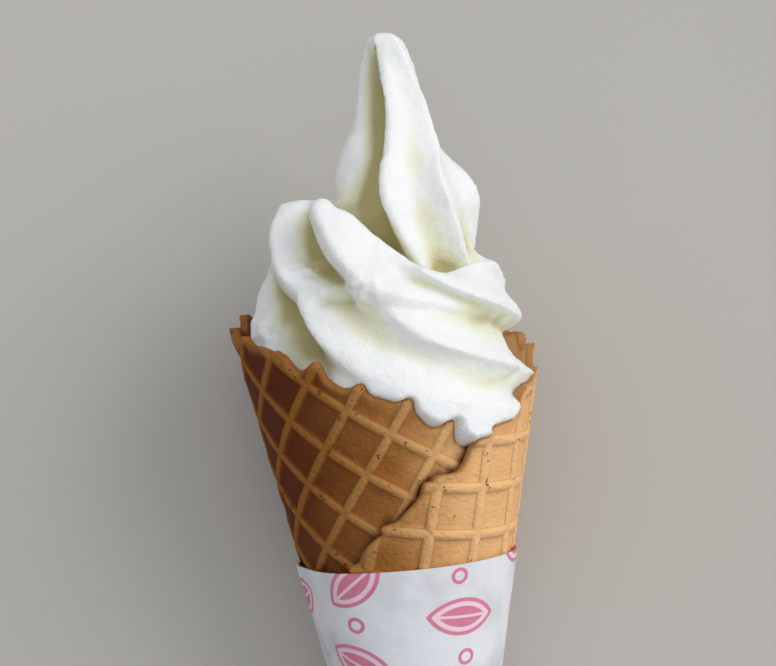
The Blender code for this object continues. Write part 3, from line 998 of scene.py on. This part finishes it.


# The waffle is baked darker on its left side than on its right; that side, away from the light, is
# also painted with shade
PANEL_LEFT, PANEL_MIDDLE = (0.12, 0.022, 0.001), (0.46, 0.19, 0.04)
PANEL_RIGHT = (0.85, 0.49, 0.22)
RIDGE_LEFT, RIDGE_RIGHT = (0.45, 0.19, 0.03), (0.88, 0.54, 0.25)
# Painted shade in the crease along the foot of each ridge
FOOT_SHADE_BROWN = (0.25, 0.08, 0.01)
RIM_BROWN, EDGE_BROWN = (0.50, 0.24, 0.075), (0.30, 0.11, 0.02)
# Painted shadow beside the flap's edge
CREVICE_SHADOW = (0.10, 0.028, 0.004)
PIT_BROWN = (0.22, 0.075, 0.012)
# In mm to the right of the axis: where the browns of the panels and the ridges change
LEFT_TO_MIDDLE, MIDDLE_TO_RIGHT, ALONG_RIDGES = (-26.0, 15.0), (-4.0, 22.0), (-20.0, 20.0)
PATCH_SHIFT = 22.0  # and how far the patches shift this
RIDGE_SIDE = (0.25, 0.9)  # share of a ridge's height where the panels' brown gives way
FOOT_START, FOOT_END = (0.02, 0.12), (0.15, 0.5)  # and of the dark line along its foot
RIM_BAND, EDGE_BAND = (0.2, 2.6), (0.1, 0.7)  # in mm from the rim
PATCHES, FINE = (45.0, 4.0, 0.6), (900.0, 4.0, 0.6)
CRUMB, SPLITS = (260.0, 3.0, 0.6), (420.0, 2.0, 0.7)
IN_PITS, IN_SPLITS = (0.7, 0.79), (0.64, 0.73)  # the crumb's and the splits' values there
CRUMB_RELIEF = 0.7 * MM


def waffle_finish():
    f = Finish("waffle")
    spot = f.spot()
    crest, rim = f.value("crest"), f.value("to_rim")
    across = f.node("SeparateXYZ", {}, {"Vector": spot}, 0)
    patches, fine = f.grain(spot, *PATCHES), f.grain(spot, *FINE)
    crumb, splits = f.grain(spot, *CRUMB), f.grain(spot, *SPLITS)
    # Browning across the waffle, darker to the left: partly baked, partly painted shade
    toast_and_shade = across * MM_PER_METRE + (patches - 0.5) * PATCH_SHIFT
    panel = f.mix(f.step(toast_and_shade, *LEFT_TO_MIDDLE), PANEL_LEFT, PANEL_MIDDLE)
    panel = f.mix(f.step(toast_and_shade, *MIDDLE_TO_RIGHT), panel, PANEL_RIGHT)
    ridge = f.mix(f.step(toast_and_shade, *ALONG_RIDGES), RIDGE_LEFT, RIDGE_RIGHT)
    colour = f.mix(f.step(crest, *RIDGE_SIDE), panel, f.mix(0.6, panel, ridge))
    # Painted shade along the ridges' feet
    foot = f.step(crest, *FOOT_START) * (1.0 - f.step(crest, *FOOT_END))
    colour = f.mix(foot * 0.35, colour, FOOT_SHADE_BROWN)
    colour = f.mix((1.0 - f.step(rim, *RIM_BAND)) * 0.5, colour, RIM_BROWN)
    colour = f.mix((1.0 - f.step(rim, *EDGE_BAND)) * 0.6, colour, EDGE_BROWN)
    # Painted shadow beside the flap's edge
    colour = f.mix(f.value("crevice") * 0.85, colour, CREVICE_SHADOW)
    pit = f.step(crumb, *IN_PITS) + f.step(splits, *IN_SPLITS) * f.step(crest, 0.5, 0.9)
    colour = f.mix(pit * 0.7, colour, PIT_BROWN)
    relief = f.bump(fine * 0.6 + crumb - pit, CRUMB_RELIEF)
    f.set(base_color=colour, roughness=0.62 + fine * 0.2, normal=relief)
    f.shader.inputs["Specular IOR Level"].default_value = 0.2
    return f.material


PAPER_WHITE, PAPER_GREY = (0.81, 0.83, 0.875), (0.62, 0.62, 0.65)
FIBRE, BLOTCH = (700.0, 4.0, 0.6), (60.0, 3.0)
PAPER_RELIEF = 0.2 * MM
# The sleeve's print: a leaf in each cell of a half-drop layout, and rings between. In mm
LEAF_CELL = (22.0, 19.0)
LEAF_SIZE = (8.0, 4.3)  # half the length and half the width
LEAF_TURNS = (2.2, 1.1, 0.6)  # how far a leaf turns with each column and row, and the first one
LEAF_LINE, LEAF_FILL = (0.0, 0.9), (0.9, 1.9)  # its outline and the light band inside it
LEAF_CORE = (1.9, 99.0)
VEIN = (0.25, 0.4)  # where the vein fades out on its sides
RING = (1.1, 1.9)  # its inner and outer radius
BLUR = 0.06  # half the width over which the print's edges fade
ROSE = (0.72, 0.20, 0.34)
PINK = (0.93, 0.66, 0.74)
MM_PER_UV = MM_PER_METRE / UV_PER_METRE


def hypot(x, y):
    return (x * x + y * y) ** 0.5


def leaf_edge(along, across, half_length, half_width):
    """How far inside a leaf's outline a place is."""
    arc = (half_length**2 + half_width**2) / (2 * half_width)
    return (hypot(abs(across) + (arc - half_width), along) - arc) * -1.0


def band(f, value, ends):
    """1 between the two values, and 0 outside them."""
    above_start, above_end = (f.step(value, end - BLUR, end + BLUR) for end in ends)
    return above_start * (1.0 - above_end)


def paper_finish():
    f = Finish("paper")
    spot = f.spot()
    fibre, blotch = f.grain(spot, *FIBRE), f.grain(spot, *BLOTCH)
    sheet = f.node("UVMap", {"uv_map": "unrolled"}, {}, 0)
    x = f.node("SeparateXYZ", {}, {"Vector": sheet}, 0) * MM_PER_UV / LEAF_CELL[0]
    y = f.node("SeparateXYZ", {}, {"Vector": sheet}, 1) * MM_PER_UV / LEAF_CELL[1]
    column = f.maths("FLOOR", x)
    y = y + column * 0.5
    row = f.maths("FLOOR", y)
    u = (x - column - 0.5) * LEAF_CELL[0]
    v = (y - row - 0.5) * LEAF_CELL[1]
    turn = column * LEAF_TURNS[0] + row * LEAF_TURNS[1] + LEAF_TURNS[2]
    c, s = f.maths("COSINE", turn), f.maths("SINE", turn)
    along, across = u * c + v * s, v * c - u * s
    depth = leaf_edge(along, across, *LEAF_SIZE)
    ring = hypot(u, LEAF_CELL[1] / 2 - abs(v))
    worn = f.step(fibre, 0.2, 0.5) * 0.12 + 0.86
    vein = band(f, depth, LEAF_CORE) * (1.0 - f.step(abs(across), *VEIN))
    colour = f.mix(f.step(blotch, 0.4, 0.7), PAPER_WHITE, PAPER_GREY)
    colour = f.mix(band(f, depth, LEAF_LINE) * worn, colour, ROSE)
    colour = f.mix(band(f, depth, LEAF_FILL) * worn, colour, PINK)
    colour = f.mix(band(f, depth, LEAF_CORE) * worn, colour, ROSE)
    colour = f.mix(vein, colour, PINK)
    colour = f.mix(band(f, ring, RING) * worn, colour, ROSE)
    relief = f.bump(fibre * 0.3 + blotch * 5.0, PAPER_RELIEF)
    f.set(base_color=colour, roughness=0.5 + fibre * 0.15, normal=relief)
    return f.material


FLOOR_SIZE = 6
FLOOR_GREY = (0.5, 0.48, 0.445)
FLOOR_GRAIN = 30.0


def floor_finish():
    f = Finish("floor")
    fine = f.grain(f.spot(), FLOOR_GRAIN)
    f.set(base_color=FLOOR_GREY, roughness=0.8 + fine * 0.1)
    return f.material


# ---------------------------------------------------------------- the scene


def dress(piece, material, node):
    """Gives the piece its material, puts it on the body and lets it stand for its node."""
    piece.data.materials.clear()
    piece.data.materials.append(material)
    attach(piece, "root")
    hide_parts(node)


# The camera's place and its yaw, pitch and roll, in the cone's frame
CAMERA_AWAY = 350.05 * MM
CAMERA_UP = 162.76 * MM
CAMERA_TURNS = (math.radians(0.08), math.radians(0.551), math.radians(-4.798))
SENSOR = 36.0
FOCAL_PER_SENSOR = 1500 / 776


def camera():
    yaw, pitch, roll = CAMERA_TURNS
    level = math.cos(pitch)
    ahead = Vector((math.sin(yaw) * level, math.cos(yaw) * level, math.sin(pitch)))
    right = Vector((math.cos(yaw), -math.sin(yaw), 0))
    up = right.cross(ahead)
    across = right * math.cos(roll) + up * math.sin(roll)
    upward = up * math.cos(roll) - right * math.sin(roll)
    bpy.ops.object.camera_add()
    made = bpy.context.object
    turned = Matrix((across, upward, -ahead)).transposed().to_4x4()
    made.matrix_world = LYING @ Matrix.Translation((0, -CAMERA_AWAY, CAMERA_UP)) @ turned
    made.data.sensor_width, made.data.lens = SENSOR, SENSOR * FOCAL_PER_SENSOR
    made.data.dof.use_dof = False
    bpy.context.scene.camera = made


# Name, strength, angle in degrees, direction in the cone's frame and colour of each light
LIGHTS = (
    ("window", 1.5, 50, (0.8, -0.45, 0.34), (1.0, 0.99, 0.97)),
    ("overhead", 1.6, 130, (0.08, -0.9, 0.38), (0.97, 0.98, 1.0)),
)
SKY, SKY_STRENGTH = (0.9, 0.95, 1.0, 1), 0.17


def add_light(name, strength, angle, toward, colour):
    bpy.ops.object.light_add(type="SUN")
    made = bpy.context.object
    made.name = made.data.name = name
    made.data.energy, made.data.angle, made.data.color = strength, math.radians(angle), colour
    toward = LYING.to_3x3() @ Vector(toward)
    made.matrix_world = (-toward).to_track_quat("-Z", "Y").to_matrix().to_4x4()


def lights():
    world = bpy.data.worlds.new("studio")
    bpy.context.scene.world = world
    world.use_nodes = True
    back = world.node_tree.nodes["Background"]
    back.inputs["Color"].default_value = SKY
    back.inputs["Strength"].default_value = SKY_STRENGTH
    for light in LIGHTS:
        add_light(*light)


def floor():
    made = add(bpy.ops.mesh.primitive_plane_add, "floor", size=FLOOR_SIZE)
    made.data.materials.append(floor_finish())


CONE_EDGES, SLEEVE_EDGES = 55, 40  # edges sharper than this, in degrees, stay sharp

cone, serve, sleeve = waffle_cone(), soft_serve(), paper_sleeve()
for piece in (cone, serve, sleeve):
    lie(piece)
flatten(cone, sleeve)
choose(serve)
bpy.ops.object.shade_smooth()
for piece, angle in ((cone, CONE_EDGES), (sleeve, SLEEVE_EDGES)):
    choose(piece)
    bpy.ops.object.shade_smooth_by_angle(angle=math.radians(angle))
dress(cone, waffle_finish(), "waffle_cone")
dress(serve, serve_finish(), "soft_serve")
dress(sleeve, paper_finish(), "paper_sleeve")
floor()
camera()
lights()
bpy.context.scene.view_settings.view_transform = "Standard"
